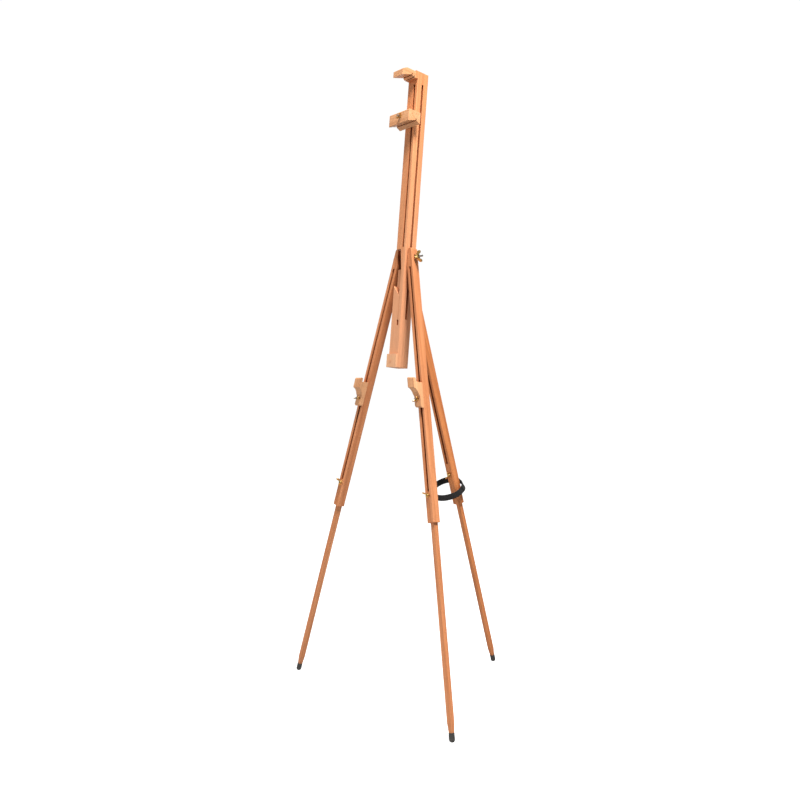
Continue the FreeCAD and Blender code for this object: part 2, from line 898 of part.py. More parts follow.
def lock_screw(label, level, frame, twist):
    """The wing screw whose tip presses on the lower leg."""
    seat = shift(0, -size("leg_width") / 2 - 0.3, -size(level))
    placement = frame.multiply(seat).multiply(POINT_FORWARD).multiply(turn((0, 0, 1), twist))
    wing_piece(
        label, placement, shank_radius="#lock_radius", shank_length="#leg_lip + #leg_rail_depth + 0.35"
    )


def lower_leg(label, foot_label, bottom, frame):
    """The square bar that slides in the upper leg, tapered at its end into a rubber foot."""
    centre = frame.multiply(shift(0, size("bar_offset"), -reach_to_floor(frame)))
    length = reach_to_floor(frame) - size(bottom) + size("bar_overlap")
    half = "#bar_width/2"
    bar = box(
        label + "Bar", "#bar_width", "#bar_width", "%f - #bar_taper - #bar_end" % length,
        "-" + half, "-" + half, "#bar_end + #bar_taper",
    )
    taper = document.addObject("Part::Wedge", label + "Taper")
    for prop, formula in (
        ("Xmin", "-" + half), ("Xmax", half), ("Zmin", "-" + half), ("Zmax", half),
        ("X2min", "-#bar_tip/2"), ("X2max", "#bar_tip/2"), ("Z2min", "-#bar_tip/2"),
        ("Z2max", "#bar_tip/2"), ("Ymin", "0"), ("Ymax", "#bar_taper"),
    ):
        bind(taper, prop, formula)
    taper.Placement.Rotation = FreeCAD.Rotation(FreeCAD.Vector(1, 0, 0), -90)
    bind(taper, "Placement.Base.z", "#bar_end + #bar_taper")
    whole = fuse(label + "Whole", [bar, taper])
    finish_piece(whole, label, centre)

    collar = cylinder(foot_label + "Collar", "#foot_radius", "#foot_height", "z", "0", "0", "0")
    ball = document.addObject("Part::Sphere", foot_label + "Ball")
    bind(ball, "Radius", "#foot_radius")
    socket = box(
        foot_label + "Socket", "#bar_tip + 1.6", "#bar_tip + 1.6", "#foot_height",
        "-#bar_tip/2 - 0.8", "-#bar_tip/2 - 0.8", "#bar_end",
    )
    floor = document.addObject("Part::Box", foot_label + "Floor")
    bind(floor, "Length", "#foot_radius * 8")
    bind(floor, "Width", "#foot_radius * 8")
    bind(floor, "Height", "#foot_radius * 4")
    reach = size("foot_radius") * 4
    floor.Placement = centre.inverse().multiply(
        shift(centre.Base.x - reach, centre.Base.y - reach, -reach)
    )
    cap = fuse(foot_label + "Cap", [collar, ball])
    taken = fuse(foot_label + "Taken", [socket, floor])
    finish_piece(cut(foot_label + "Foot", cap, taken), foot_label, centre)


def canvas_bracket(side, side_name, frame):
    """The shelf that slides on a front leg; its ledge lies level although its sides follow the leg."""
    label = "canvas_bracket_" + side_name
    body = document.addObject("PartDesign::Body", label + "Body")
    back = "-#bracket_back"
    outline = (
        (back, "-#bracket_ledge"),
        ("-#bracket_front + 10.5", "-#bracket_ledge"),
        ("-#bracket_front + 10.5", "-#bracket_lip_top - 2"),
        ("-#bracket_front + 8.5", "-#bracket_lip_top"),
        ("-#bracket_front + 2", "-#bracket_lip_top"),
        ("-#bracket_front", "-#bracket_lip_top - 3"),
        ("-#bracket_front", "-#bracket_chin"),
        ("-#bracket_front + 6", "-#bracket_chin - 2.5"),
        ("-#bracket_front + 11.5", "-#bracket_chin - 7"),
        ("-#bracket_front + 16", "-#bracket_chin - 13"),
        ("-#bracket_front + 19", "-#bracket_waist + 2"),
        ("-#bracket_thin", "-#bracket_waist - 4"),
        ("-#bracket_thin", "-#bracket_foot + 4"),
        ("-#bracket_thin + 4", "-#bracket_foot"),
        (back, "-#bracket_foot"),
    )
    pad(
        body, label + "Pad", "YZ_Plane", outline, "#bracket_width * 3", offset="-#bracket_width * 1.5"
    )
    ledge = size("bracket_ledge")
    level = shift(0, 0, -ledge).multiply(turn((0, 1, 0), side * size("leg_splay")))
    profile = group(label + "Profile", [body])
    body.Placement = level.multiply(shift(0, 0, ledge))
    slab = box(
        label + "Slab", "#bracket_width", "#bracket_front * 2", "#bracket_foot - #bracket_lip_top + 60",
        "-#bracket_width/2", "-#bracket_front - 5", "-#bracket_foot - 30",
    )
    blank = document.addObject("Part::Common", label + "Blank")
    blank.Base = profile
    blank.Tool = slab
    hole = cylinder(
        label + "Hole", "#lock_radius", "#bracket_front", "y", "0", "-#bracket_front", "-#bracket_bolt_level"
    )
    finish_piece(cut(label + "Cut", blank, hole), label, frame)

    bolt_label = "bracket_bolt_" + side_name
    shank = cylinder(
        bolt_label + "Shank", "#lock_radius", "#bracket_thin + 13 - #leg_width/2 + #leg_lip + 1", "y",
        "0", "-#bracket_thin - 13", "-#bracket_bolt_level",
    )
    head = box(
        bolt_label + "Head", "#bracket_head_side", "#bracket_head_height", "#bracket_head_side",
        "-#bracket_head_side/2", "-#leg_width/2 + #leg_lip + 0.2",
        "-#bracket_bolt_level - #bracket_head_side/2",
    )
    finish_piece(fuse(bolt_label + "Whole", [shank, head]), bolt_label, frame)

    seat = shift(0, -size("bracket_thin") - 0.2, -size("bracket_bolt_level"))
    placement = frame.multiply(seat).multiply(POINT_FORWARD).multiply(turn((0, 0, 1), 25))
    wing_piece(
        "bracket_wing_nut_" + side_name,
        placement,
        "#bracket_nut_scale",
        bore="#lock_radius + #running_gap",
    )


for side, side_name in ((-1, "left"), (1, "right")):
    frame = leg_frame(side)
    bolt_hole = box(
        "LegBoltHole" + side_name, "#leg_width * 2", "#head_bolt_radius * 2 + 0.4",
        "#bolt_hole_low + #bolt_hole_high", "-#leg_width", "-#head_bolt_radius - 0.2", "-#bolt_hole_low",
    )
    upper_leg(
        "front_leg_upper_" + side_name,
        ("XZ_Plane", front_outline(side)),
        "leg_slot_top",
        "leg_slot_bottom",
        "leg_bottom",
        "leg_lock_level",
        [bolt_hole],
        frame,
    )
    lock_bush("front_lock_bush_" + side_name, "leg_lock_level", frame)
    lock_screw("front_lock_screw_" + side_name, "leg_lock_level", frame, -39)
    lower_leg("front_leg_lower_" + side_name, "front_foot_" + side_name, "leg_bottom", frame)
    canvas_bracket(side, side_name, frame)

# the rear leg hangs from the pin in the fork of the head block; its top is a round knuckle
knuckle = "#leg_width/2"
rear_outline = (
    ("-" + knuckle, "-#rear_bottom"),
    (knuckle, "-#rear_bottom"),
    (knuckle, knuckle + " * 0.414"),
    (knuckle + " * 0.414", knuckle),
    ("-%s * 0.414" % knuckle, knuckle),
    ("-" + knuckle, knuckle + " * 0.414"),
)
rear_pin_hole = cylinder(
    "RearPinHole", "#hinge_pin_radius + #running_gap", "#leg_width * 2", "x", "-#leg_width", "0", "0"
)
upper_leg(
    "rear_leg_upper",
    ("YZ_Plane", rear_outline),
    "leg_room_top",
    "rear_slot_bottom",
    "rear_bottom",
    "rear_lock_level",
    [rear_pin_hole],
    REAR_FRAME,
)
lock_bush("rear_lock_bush", "rear_lock_level", REAR_FRAME)
lock_screw("rear_lock_screw", "rear_lock_level", REAR_FRAME, 60)
lower_leg("rear_leg_lower", "rear_foot", "rear_bottom", REAR_FRAME)

# the strap: a loop of webbing that hangs round the rear leg and ties the folded legs together
STRAP_CENTRE = REAR_FRAME.multVec(FreeCAD.Vector(0, 0, -size("strap_level")))
STRAP_FRAME = (
    shift(*STRAP_CENTRE)
    .multiply(turn((0, 0, 1), size("strap_bearing")))
    .multiply(shift(size("strap_out"), size("strap_near"), 0))
    .multiply(turn((0, 1, 0), size("strap_droop")))
    .multiply(turn((1, 0, 0), -size("strap_tilt")))
)


def strap_oval(name, inset):
    """A solid oval drum as high as the strap is wide, whose side stands upright."""
    oval = document.addObject("Part::Ellipse", name + "Oval")
    bind(oval, "MajorRadius", "#strap_long - " + inset)
    bind(oval, "MinorRadius", "#strap_short - " + inset)
    drum = document.addObject("Part::Extrusion", name)
    drum.Base = oval
    drum.DirMode = "Custom"
    drum.Dir = STRAP_FRAME.Rotation.inverted().multVec(FreeCAD.Vector(0, 0, 1))
    drum.Solid = True
    bind(drum, "LengthFwd", "#strap_width/2")
    bind(drum, "LengthRev", "#strap_width/2")
    return drum


strap_outside = strap_oval("StrapOutside", "(-#strap_thickness/2)")
strap_inside = strap_oval("StrapInside", "#strap_thickness/2")
finish_piece(cut("Strap", strap_outside, strap_inside), "tie_strap", STRAP_FRAME)

# check every piece and write it out

document.recompute()
os.makedirs("parts", exist_ok=True)
for item in document.Objects:
    for fault in ("Invalid", "Error"):
        if fault in item.State:
            raise RuntimeError("%s is %s" % (item.Label, item.State))
for piece in pieces:
    shape = piece.Shape
    if shape.isNull() or not shape.isValid() or shape.Volume <= 0:
        raise RuntimeError(piece.Label + " has no sound shape")
    shape.exportStep("parts/%s.step" % piece.Label)
    spread = shape.BoundBox
    print(
        "%-26s solids %d  x %.1f..%.1f  y %.1f..%.1f  z %.1f..%.1f"
        % (
            piece.Label, len(shape.Solids),
            spread.XMin, spread.XMax, spread.YMin, spread.YMax, spread.ZMin, spread.ZMax,
        )
    )
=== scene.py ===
"""Looks of the tripod field easel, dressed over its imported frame: oiled beech, brass, plated steel, rubber
and black webbing. Everything is in metres, in the frame's own axes."""

import json
import math

import bpy
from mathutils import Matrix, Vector


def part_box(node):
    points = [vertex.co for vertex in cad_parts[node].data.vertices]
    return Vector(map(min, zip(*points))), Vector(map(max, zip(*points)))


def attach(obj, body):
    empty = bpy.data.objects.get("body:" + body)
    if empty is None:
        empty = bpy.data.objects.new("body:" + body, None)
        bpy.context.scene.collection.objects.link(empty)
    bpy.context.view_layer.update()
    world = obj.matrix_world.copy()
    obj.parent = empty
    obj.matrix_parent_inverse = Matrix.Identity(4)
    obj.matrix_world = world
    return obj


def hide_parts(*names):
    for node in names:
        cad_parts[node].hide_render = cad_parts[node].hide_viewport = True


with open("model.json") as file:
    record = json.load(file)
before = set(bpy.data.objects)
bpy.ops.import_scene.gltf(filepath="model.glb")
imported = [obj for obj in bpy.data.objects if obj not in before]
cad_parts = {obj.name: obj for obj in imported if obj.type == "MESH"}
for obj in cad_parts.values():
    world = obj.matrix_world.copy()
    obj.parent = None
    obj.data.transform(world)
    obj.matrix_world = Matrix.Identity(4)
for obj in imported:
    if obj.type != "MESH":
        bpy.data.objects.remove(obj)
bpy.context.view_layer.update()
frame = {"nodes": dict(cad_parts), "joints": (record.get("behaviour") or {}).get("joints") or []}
nodes = frame["nodes"]
joints = {joint["name"]: joint for joint in frame["joints"]}


# --------------------------------------------------------------------------------------------------
# directions of the members, read from the joints
# --------------------------------------------------------------------------------------------------

RIGHT = Vector((1, 0, 0))


def joint_axis(name):
    return Vector(joints[name]["axis"]).normalized()


def member(along, depth):
    """The three directions of a wooden member: across its width, through its depth and along its grain."""
    across = depth.cross(along).normalized()
    return across, depth, along


mast_up = -joint_axis("mast_slide")
mast_back = mast_up.cross(RIGHT).normalized()
fold_axis = joint_axis("front_leg_fold_right")
rear_up = -joint_axis("rear_leg_length")
rear_back = rear_up.cross(RIGHT).normalized()
head_up = RIGHT.cross(fold_axis).normalized()

MAST = member(mast_up, mast_back)
LEG = {side: member(-joint_axis("front_leg_length_" + side), fold_axis) for side in ("left", "right")}
REAR = member(rear_up, rear_back)


# --------------------------------------------------------------------------------------------------
# node materials
# --------------------------------------------------------------------------------------------------


class Material:
    """A node material with short ways to add nodes and join them."""

    def __init__(self, name):
        self.material = bpy.data.materials.new(name)
        self.material.use_nodes = True
        self.tree = self.material.node_tree
        self.shader = self.tree.nodes["Principled BSDF"]

    def feed(self, socket, value):
        """Link a socket's value, or set a plain one."""
        if isinstance(value, bpy.types.NodeSocket):
            self.tree.links.new(value, socket)
        elif value is not None:
            socket.default_value = value

    def add(self, kind, inputs=(), **settings):
        node = self.tree.nodes.new(kind)
        for key, value in settings.items():
            setattr(node, key, value)
        for key, value in dict(inputs).items():
            self.feed(node.inputs[key], value)
        return node

    def math(self, operation, a, b=None):
        inputs = {0: a}
        if b is not None:
            inputs[1] = b
        return self.add("ShaderNodeMath", inputs, operation=operation).outputs[0]

    def vector(self, operation, a, b=None):
        inputs = {0: a}
        if b is not None:
            inputs[1] = b
        node = self.add("ShaderNodeVectorMath", inputs, operation=operation)
        return node.outputs["Value"] if operation == "LENGTH" else node.outputs["Vector"]

    def attribute(self, name):
        return self.add("ShaderNodeAttribute", attribute_name=name).outputs["Vector"]

    def noise(self, place, scale, detail=3.0, roughness=0.55):
        """Noise with its own scale on each axis."""
        stretched = self.vector("MULTIPLY", place, scale)
        inputs = {"Vector": stretched, "Scale": 1.0, "Detail": detail, "Roughness": roughness}
        return self.add("ShaderNodeTexNoise", inputs).outputs["Fac"]

    def span(self, value, low, high, to_low=0.0, to_high=1.0):
        """Map a value from one span to another, clamped."""
        inputs = {"Value": value, "From Min": low, "From Max": high, "To Min": to_low, "To Max": to_high}
        return self.add("ShaderNodeMapRange", inputs).outputs["Result"]

    def mix(self, share, a, b, how="MIX"):
        node = self.add("ShaderNodeMix", data_type="RGBA", blend_type=how)
        self.feed(node.inputs["Factor"], share)
        self.feed(node.inputs["A"], a)
        self.feed(node.inputs["B"], b)
        return node.outputs["Result"]

    def rounded_normal(self, radius):
        return self.add("ShaderNodeBevel", {"Radius": radius}, samples=6).outputs["Normal"]

    def bump(self, height, strength, distance, normal=None):
        inputs = {"Height": height, "Strength": strength, "Distance": distance}
        if normal is not None:
            inputs["Normal"] = normal
        return self.add("ShaderNodeBump", inputs).outputs["Normal"]

    def edge_mask(self, radius):
        """1 on worn edges and 0 on flats, from how far a rounded normal turns away from the true one."""
        rounded = self.rounded_normal(radius)
        true = self.add("ShaderNodeNewGeometry").outputs["Normal"]
        turned = self.add("ShaderNodeVectorMath", {0: rounded, 1: true}, operation="DOT_PRODUCT")
        return self.span(turned.outputs["Value"], 0.995, 0.80)

    def crevice(self, distance):
        """The mask for painted shade: 1 in the open and towards 0 in slots and corners."""
        inputs = {"Distance": distance}
        return self.add("ShaderNodeAmbientOcclusion", inputs, samples=8).outputs["AO"]

    def finish(self, **sockets):
        for key, value in sockets.items():
            self.feed(self.shader.inputs[key.replace("_", " ")], value)
        return self.material


def colour(red, green, blue):
    return (red, green, blue, 1.0)


WHITE = colour(1, 1, 1)
# the pale tone of the painted light on the mast's lower part
BEECH_PAINTED_LIGHT = colour(0.86, 0.50, 0.31)
# the deep brown that painted shade gives the wood in its slots and recesses
BEECH_PAINTED_SHADE = colour(0.58, 0.27, 0.14)
RINGS_PER_METRE = 165.0
# where the tree's pith lies, beside and below the board
PITH = (0.085, 0.06, 0)
# growth rings run almost straight along a board, so its length counts for little in them
ALONG_RINGS = 0.012


def oiled_beech(name, pale, mid, deep, figure=1.0):
    """Steamed beech under oil: growth rings round a pith outside the board, fine streaks and dark flecks."""
    m = Material(name)
    place = m.attribute("grain")
    painted_light = m.add("ShaderNodeAttribute", attribute_name="painted_light").outputs["Fac"]
    wander = m.noise(place, (2.2, 2.2, 1.3), 2.0)
    drift = m.add("ShaderNodeCombineXYZ", {0: wander, 1: wander}).outputs[0]
    sway = m.vector("MULTIPLY", drift, (0.035, 0.02, 0))
    flat = m.vector("MULTIPLY", m.vector("ADD", place, sway), (1, 1, ALONG_RINGS))
    from_pith = m.vector("LENGTH", m.vector("ADD", flat, PITH))
    ring = m.math("FRACT", m.math("MULTIPLY", from_pith, RINGS_PER_METRE))
    late = m.math("POWER", ring, 2.6)
    streak = m.noise(place, (620, 620, 9), 4.0, 0.62)
    fleck_noise = m.noise(place, (760, 760, 105), 2.0, 0.5)
    fleck = m.span(fleck_noise, 0.635, 0.70)
    mottle = m.noise(place, (16, 16, 3.0), 3.0, 0.6)
    band = m.noise(place, (75, 75, 1.6), 3.0, 0.5)

    tone = m.mix(m.span(band, 0.32, 0.68), mid, pale)
    tone = m.mix(m.span(mottle, 0.35, 0.78, 0.0, 0.55), tone, deep)
    tone = m.mix(m.math("MULTIPLY", late, 0.42 * figure), tone, deep)
    tone = m.mix(m.span(streak, 0.42, 0.72, 0.0, 0.34 * figure), tone, deep)
    tone = m.mix(m.math("MULTIPLY", fleck, 0.5), tone, colour(*(0.55 * part for part in deep[:3])))
    # painted light: paler where the mast's lower part is lit brighter
    tone = m.mix(painted_light, tone, BEECH_PAINTED_LIGHT)
    worn = m.edge_mask(0.0011)
    tone = m.mix(m.math("MULTIPLY", worn, 0.35), tone, pale)
    # painted shade: the wood is darkened towards deep brown in slots, recesses and corners, where shade falls
    open_air = m.crevice(0.035)
    painted_shade = m.mix(m.span(open_air, 0.12, 0.62), BEECH_PAINTED_SHADE, WHITE)
    tone = m.mix(1.0, tone, painted_shade, "MULTIPLY")

    height = m.math("ADD", m.math("MULTIPLY", streak, 0.7), m.math("MULTIPLY", fleck, -0.8))
    normal = m.bump(height, 0.22, 0.0004, m.rounded_normal(0.0009))
    sheen_wear = m.noise(place, (30, 30, 7), 4.0, 0.6)
    roughness = m.span(sheen_wear, 0.3, 0.7, 0.36, 0.54)
    return m.finish(
        Base_Color=tone, Roughness=roughness, Normal=normal, Coat_Weight=0.05, Coat_Roughness=0.30,
        Specular_IOR_Level=0.30,
    )


def cast_brass(name):
    """Lacquered brass: warm and bright on its edges, and painted shade makes it duller and browner in its
    hollows.
    """
    m = Material(name)
    place = m.add("ShaderNodeTexCoord").outputs["Object"]
    cloud = m.noise(place, (160, 160, 160), 4.0, 0.6)
    grit = m.noise(place, (1500, 1500, 1500), 2.0, 0.5)
    worn = m.edge_mask(0.0010)
    tone = m.mix(m.span(cloud, 0.35, 0.68), colour(0.76, 0.50, 0.18), colour(0.50, 0.30, 0.10))
    tone = m.mix(m.math("MULTIPLY", worn, 0.7), tone, colour(0.93, 0.72, 0.36))
    # painted shade: darkened towards dark brown in the hollows, where shade falls
    open_air = m.crevice(0.006)
    tone = m.mix(m.span(open_air, 0.2, 0.8), colour(0.16, 0.09, 0.035), tone)
    height = m.math("ADD", grit, m.math("MULTIPLY", cloud, 1.5))
    normal = m.bump(height, 0.18, 0.0003, m.rounded_normal(0.0008))
    roughness = m.span(cloud, 0.3, 0.7, 0.24, 0.42)
    return m.finish(Base_Color=tone, Metallic=1.0, Roughness=roughness, Normal=normal)


def plated_steel(name, light, dark):
    """Plated steel with a fine brushed grain and faint spangle between its light and dark tones."""
    m = Material(name)
    place = m.add("ShaderNodeTexCoord").outputs["Object"]
    spangle = m.add("ShaderNodeTexVoronoi", {"Vector": place, "Scale": 240.0}).outputs["Color"]
    shade = m.add("ShaderNodeSeparateColor", {"Color": spangle}).outputs[0]
    brushed = m.noise(place, (2400, 2400, 60), 3.0, 0.6)
    tone = m.mix(m.span(shade, 0.0, 1.0, 0.0, 0.5), light, dark)
    # painted shade: darkened towards dark brown in hollows and corners, where shade falls
    open_air = m.crevice(0.008)
    tone = m.mix(m.span(open_air, 0.2, 0.85), colour(0.12, 0.09, 0.07), tone)
    normal = m.bump(brushed, 0.12, 0.0002, m.rounded_normal(0.0005))
    roughness = m.span(brushed, 0.3, 0.7, 0.28, 0.46)
    return m.finish(Base_Color=tone, Metallic=1.0, Roughness=roughness, Normal=normal)


def black_rubber(name):
    """Moulded rubber, dusty where it meets the ground."""
    m = Material(name)
    place = m.add("ShaderNodeTexCoord").outputs["Object"]
    pebble = m.noise(place, (900, 900, 900), 3.0, 0.6)
    dust = m.noise(place, (90, 90, 90), 4.0, 0.65)
    height = m.add("ShaderNodeSeparateXYZ", {0: place}).outputs["Z"]
    low = m.span(height, 0.012, 0.0)
    tone = m.mix(m.span(pebble, 0.3, 0.7), colour(0.018, 0.017, 0.017), colour(0.038, 0.036, 0.034))
    dusty = m.math("MULTIPLY", m.span(dust, 0.42, 0.70), m.math("ADD", m.math("MULTIPLY", low, 0.5), 0.12))
    tone = m.mix(dusty, tone, colour(0.22, 0.19, 0.16))
    normal = m.bump(pebble, 0.3, 0.0003, m.rounded_normal(0.0010))
    return m.finish(Base_Color=tone, Roughness=m.span(dust, 0.3, 0.7, 0.55, 0.78), Normal=normal)


def black_webbing(name):
    """Woven polypropylene tape: slanted threads that change direction at the middle, crossed by fine ribs."""
    m = Material(name)
    weave = m.attribute("weave")
    parts = m.add("ShaderNodeSeparateXYZ", {0: weave})
    along, across = parts.outputs["X"], parts.outputs["Y"]
    from_middle = m.math("ABSOLUTE", across)
    slant = m.math("ADD", m.math("MULTIPLY", along, 2900.0), m.math("MULTIPLY", from_middle, 2100.0))
    threads = m.math("SINE", slant)
    ribs = m.math("SINE", m.math("MULTIPLY", across, 4200.0))
    cloth = m.math("MULTIPLY", m.math("ADD", m.math("MULTIPLY", threads, ribs), 1.0), 0.5)
    fuzz = m.noise(weave, (900, 900, 900), 3.0, 0.6)
    fade = m.noise(weave, (60, 60, 60), 3.0, 0.6)
    tone = m.mix(cloth, colour(0.005, 0.005, 0.0055), colour(0.020, 0.0185, 0.019))
    tone = m.mix(m.span(fade, 0.4, 0.75, 0.0, 0.4), tone, colour(0.032, 0.028, 0.026))
    tone = m.mix(m.span(fuzz, 0.62, 0.75, 0.0, 0.3), tone, colour(0.07, 0.065, 0.065))
    normal = m.bump(m.math("ADD", cloth, m.math("MULTIPLY", fuzz, 0.3)), 0.6, 0.0004)
    return m.finish(
        Base_Color=tone, Roughness=0.88, Normal=normal, Specular_IOR_Level=0.2, Sheen_Weight=0.08,
        Sheen_Roughness=0.5,
    )


beech_mast = oiled_beech(
    "beech_mast", colour(0.74, 0.32, 0.14), colour(0.62, 0.235, 0.09), colour(0.34, 0.10, 0.032)
)
beech_leg = oiled_beech(
    "beech_leg", colour(0.72, 0.31, 0.14), colour(0.60, 0.225, 0.088), colour(0.32, 0.095, 0.03)
)
beech_rear = oiled_beech(
    "beech_rear", colour(0.72, 0.27, 0.095), colour(0.58, 0.19, 0.058), colour(0.31, 0.085, 0.022)
)
beech_block = oiled_beech(
    "beech_block", colour(0.76, 0.42, 0.22), colour(0.66, 0.32, 0.15), colour(0.38, 0.14, 0.05), 0.55
)
brass = cast_brass("brass")
steel = plated_steel("steel", colour(0.50, 0.50, 0.49), colour(0.36, 0.35, 0.33))
# painted shade: steel tinted dark brown to stand in for the deep shade in the recess between the leg tops
shade_brown_steel = plated_steel("steel_painted_as_shade", colour(0.30, 0.15, 0.08), colour(0.20, 0.09, 0.045))
rubber = black_rubber("rubber")
webbing = black_webbing("webbing")


# --------------------------------------------------------------------------------------------------
# the wood's grain is carried by its mesh, so that it runs along each board and stays with it
# --------------------------------------------------------------------------------------------------


def turned(directions):
    """The same block cut with its grain running across the member."""
    across, depth, along = directions
    return along, depth, across


def end_on(directions):
    """The same block cut with its grain running from front to back."""
    across, depth, along = directions
    return along, across, depth


# painted light: the mast is painted paler downwards, as its lower part is lit brighter; the first number is
# how much paler in all, the second the reach over which it grows, and the third how far it has come at the
# head
MAST_PAINTED_LIGHT = 0.35
PAINTED_LIGHT_REACH = 0.25
PAINTED_LIGHT_AT_HEAD = 0.4
# each board is cut from its own place in the tree
BOARD_SLIP = 0.03
BOARD_STEP = 1.37

head_pivot = Vector(joints["mast_tilt"]["pos_m"])


def painted_light_at(point):
    below = (head_pivot - point).dot(mast_up)
    return MAST_PAINTED_LIGHT * min(1.0, max(0.0, below / PAINTED_LIGHT_REACH + PAINTED_LIGHT_AT_HEAD))


def point_layer(mesh, name, kind, field, values):
    """Store a value or a vector for every point of a mesh."""
    mesh.attributes.new(name, kind, "POINT").data.foreach_set(field, values)


def dress_wood(name, material, directions, seed):
    """Paint a wooden node and give every point its place across, through and along the board."""
    item = nodes[name]
    item.data.materials.clear()
    item.data.materials.append(material)
    low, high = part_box(name)
    centre = (low + high) / 2
    slip = Vector((math.sin(seed * 12.9) * BOARD_SLIP, math.cos(seed * 7.7) * BOARD_SLIP, seed * BOARD_STEP))
    # only the mast takes the painted light that makes it paler downwards
    takes_painted_light = name.startswith("mast")
    values, painted_light_values = [], []
    for vertex in item.data.vertices:
        offset = vertex.co - centre
        values.extend(offset.dot(direction) + slip[index] for index, direction in enumerate(directions))
        painted_light_values.append(painted_light_at(vertex.co) if takes_painted_light else 0.0)
    point_layer(item.data, "grain", "FLOAT_VECTOR", "vector", values)
    point_layer(item.data, "painted_light", "FLOAT", "value", painted_light_values)


def dress(material, *names):
    for name in names:
        nodes[name].data.materials.clear()
        nodes[name].data.materials.append(material)


WOODEN = [
    ("mast_front_rail", beech_mast, MAST),
    ("mast_back_rail", beech_mast, MAST),
    ("mast_top_spacer", beech_mast, MAST),
    ("mast_bottom_spacer", beech_mast, MAST),
    ("mast_hook", beech_block, end_on(MAST)),
    ("mast_hook_packer", beech_mast, MAST),
    ("mast_stop_block", beech_block, MAST),
    ("mast_stop_plug", beech_mast, turned(MAST)),
    ("canvas_clamp", beech_block, turned(MAST)),
    ("head_block", beech_leg, member(head_up, fold_axis)),
    ("front_leg_upper_left", beech_leg, LEG["left"]),
    ("front_leg_upper_right", beech_leg, LEG["right"]),
    ("front_leg_lower_left", beech_leg, LEG["left"]),
    ("front_leg_lower_right", beech_leg, LEG["right"]),
    ("canvas_bracket_left", beech_block, LEG["left"]),
    ("canvas_bracket_right", beech_block, LEG["right"]),
    ("rear_leg_upper", beech_rear, REAR),
    ("rear_leg_lower", beech_rear, REAR),
]
for seed, (name, material, directions) in enumerate(WOODEN, start=1):
    dress_wood(name, material, directions, seed)

BRASS_NODES = [name for name in nodes if "wing_nut" in name or "lock_screw" in name or "bush" in name]
dress(brass, *BRASS_NODES, "clamp_pins")
dress(steel, "rear_hinge_pin", "head_bolt", "head_washers")
dress(steel, "clamp_bolt", "bracket_bolt_left", "bracket_bolt_right")
# the head plates carry the dark brown painted shade of the recess
dress(shade_brown_steel, "head_plate_left", "head_plate_right", "head_plate_screws")
dress(rubber, "front_foot_left", "front_foot_right", "rear_foot")


# --------------------------------------------------------------------------------------------------
# the strap: a loop of webbing that hangs round the rear leg, lower at its front
# --------------------------------------------------------------------------------------------------

STRAP_LEVEL = 0.675
STRAP_BEARING = math.radians(229.2)
STRAP_DROOP = math.radians(15.5)
STRAP_TILT = math.radians(38)
STRAP_LONG = 0.0550
STRAP_SHORT = 0.0400
STRAP_OUT = 0.028
STRAP_NEAR = 0.005
STRAP_WIDTH = 0.0205
STRAP_THICKNESS = 0.0017
STRAP_STEPS = 180
# the hand-bent look of the loop: slow and quick ripples in its radius, and how far the tape leans outwards
SLOW_RIPPLE = 0.010
QUICK_RIPPLE = 0.005
ROUND_LEAN = 0.10
FAR_LEAN = -0.62
# the doubled stretch where the tape's end is sewn over itself
LAP_START = math.radians(150)
LAP_STOP = math.radians(196)
LAP_STEPS = 24
LAP_WIDTH = STRAP_WIDTH * 0.98
# the tape's section, as shares of its half width and half thickness, with softly rounded edges
EDGE = ((-1, 0), (-0.97, 0.75), (-0.86, 1), (-0.43, 1))
OTHER_EDGE = ((1, 0), (0.97, -0.75), (0.86, -1), (0.43, -1))
TAPE_SECTION = (
    *EDGE, (0, 1), *((-across, out) for across, out in reversed(EDGE[1:])),
    *OTHER_EDGE, (0, -1), *((-across, out) for across, out in reversed(OTHER_EDGE[1:])),
)

UP = Vector((0, 0, 1))
rear_pivot = Vector(joints["rear_leg_fold"]["pos_m"])
bearing_away = Vector((math.cos(STRAP_BEARING), math.sin(STRAP_BEARING), 0))
bearing_side = UP.cross(bearing_away)
strap_away = bearing_away * math.cos(STRAP_DROOP) - UP * math.sin(STRAP_DROOP)
strap_rise = strap_away.cross(bearing_side)
strap_down = bearing_side * math.cos(STRAP_TILT) - strap_rise * math.sin(STRAP_TILT)
strap_centre = rear_pivot - rear_up * STRAP_LEVEL + bearing_away * STRAP_OUT + bearing_side * STRAP_NEAR


def strap_line(turn):
    """A point on the loop's middle line, its outward direction and the band's own upward direction."""
    ripple = 1 + SLOW_RIPPLE * math.sin(3 * turn + 0.6) + QUICK_RIPPLE * math.sin(7 * turn)
    spoke = strap_away * (STRAP_LONG * math.cos(turn)) + strap_down * (STRAP_SHORT * math.sin(turn))
    here = strap_centre + spoke * ripple
    forward = strap_down * (STRAP_SHORT * math.cos(turn)) - strap_away * (STRAP_LONG * math.sin(turn))
    forward.normalize()
    lean = ROUND_LEAN * math.sin(turn + 0.4) + FAR_LEAN * max(0.0, -math.cos(turn)) ** 3
    outward = forward.cross(UP).normalized()
    up = (outward.cross(forward) + outward * lean).normalized()
    return here, up.cross(-forward).normalized(), up


def tape_faces(rings, corners, closed):
    """The faces between a tape's rings of points, and its two ends where it is open."""
    faces = []
    for ring in range(rings if closed else rings - 1):
        here, after = ring * corners, (ring + 1) % rings * corners
        for corner in range(corners):
            beside = (corner + 1) % corners
            faces.append((here + corner, after + corner, after + beside, here + beside))
    if not closed:
        faces.append(tuple(range(corners)))
        faces.append(tuple(range((rings - 1) * corners, rings * corners))[::-1])
    return faces


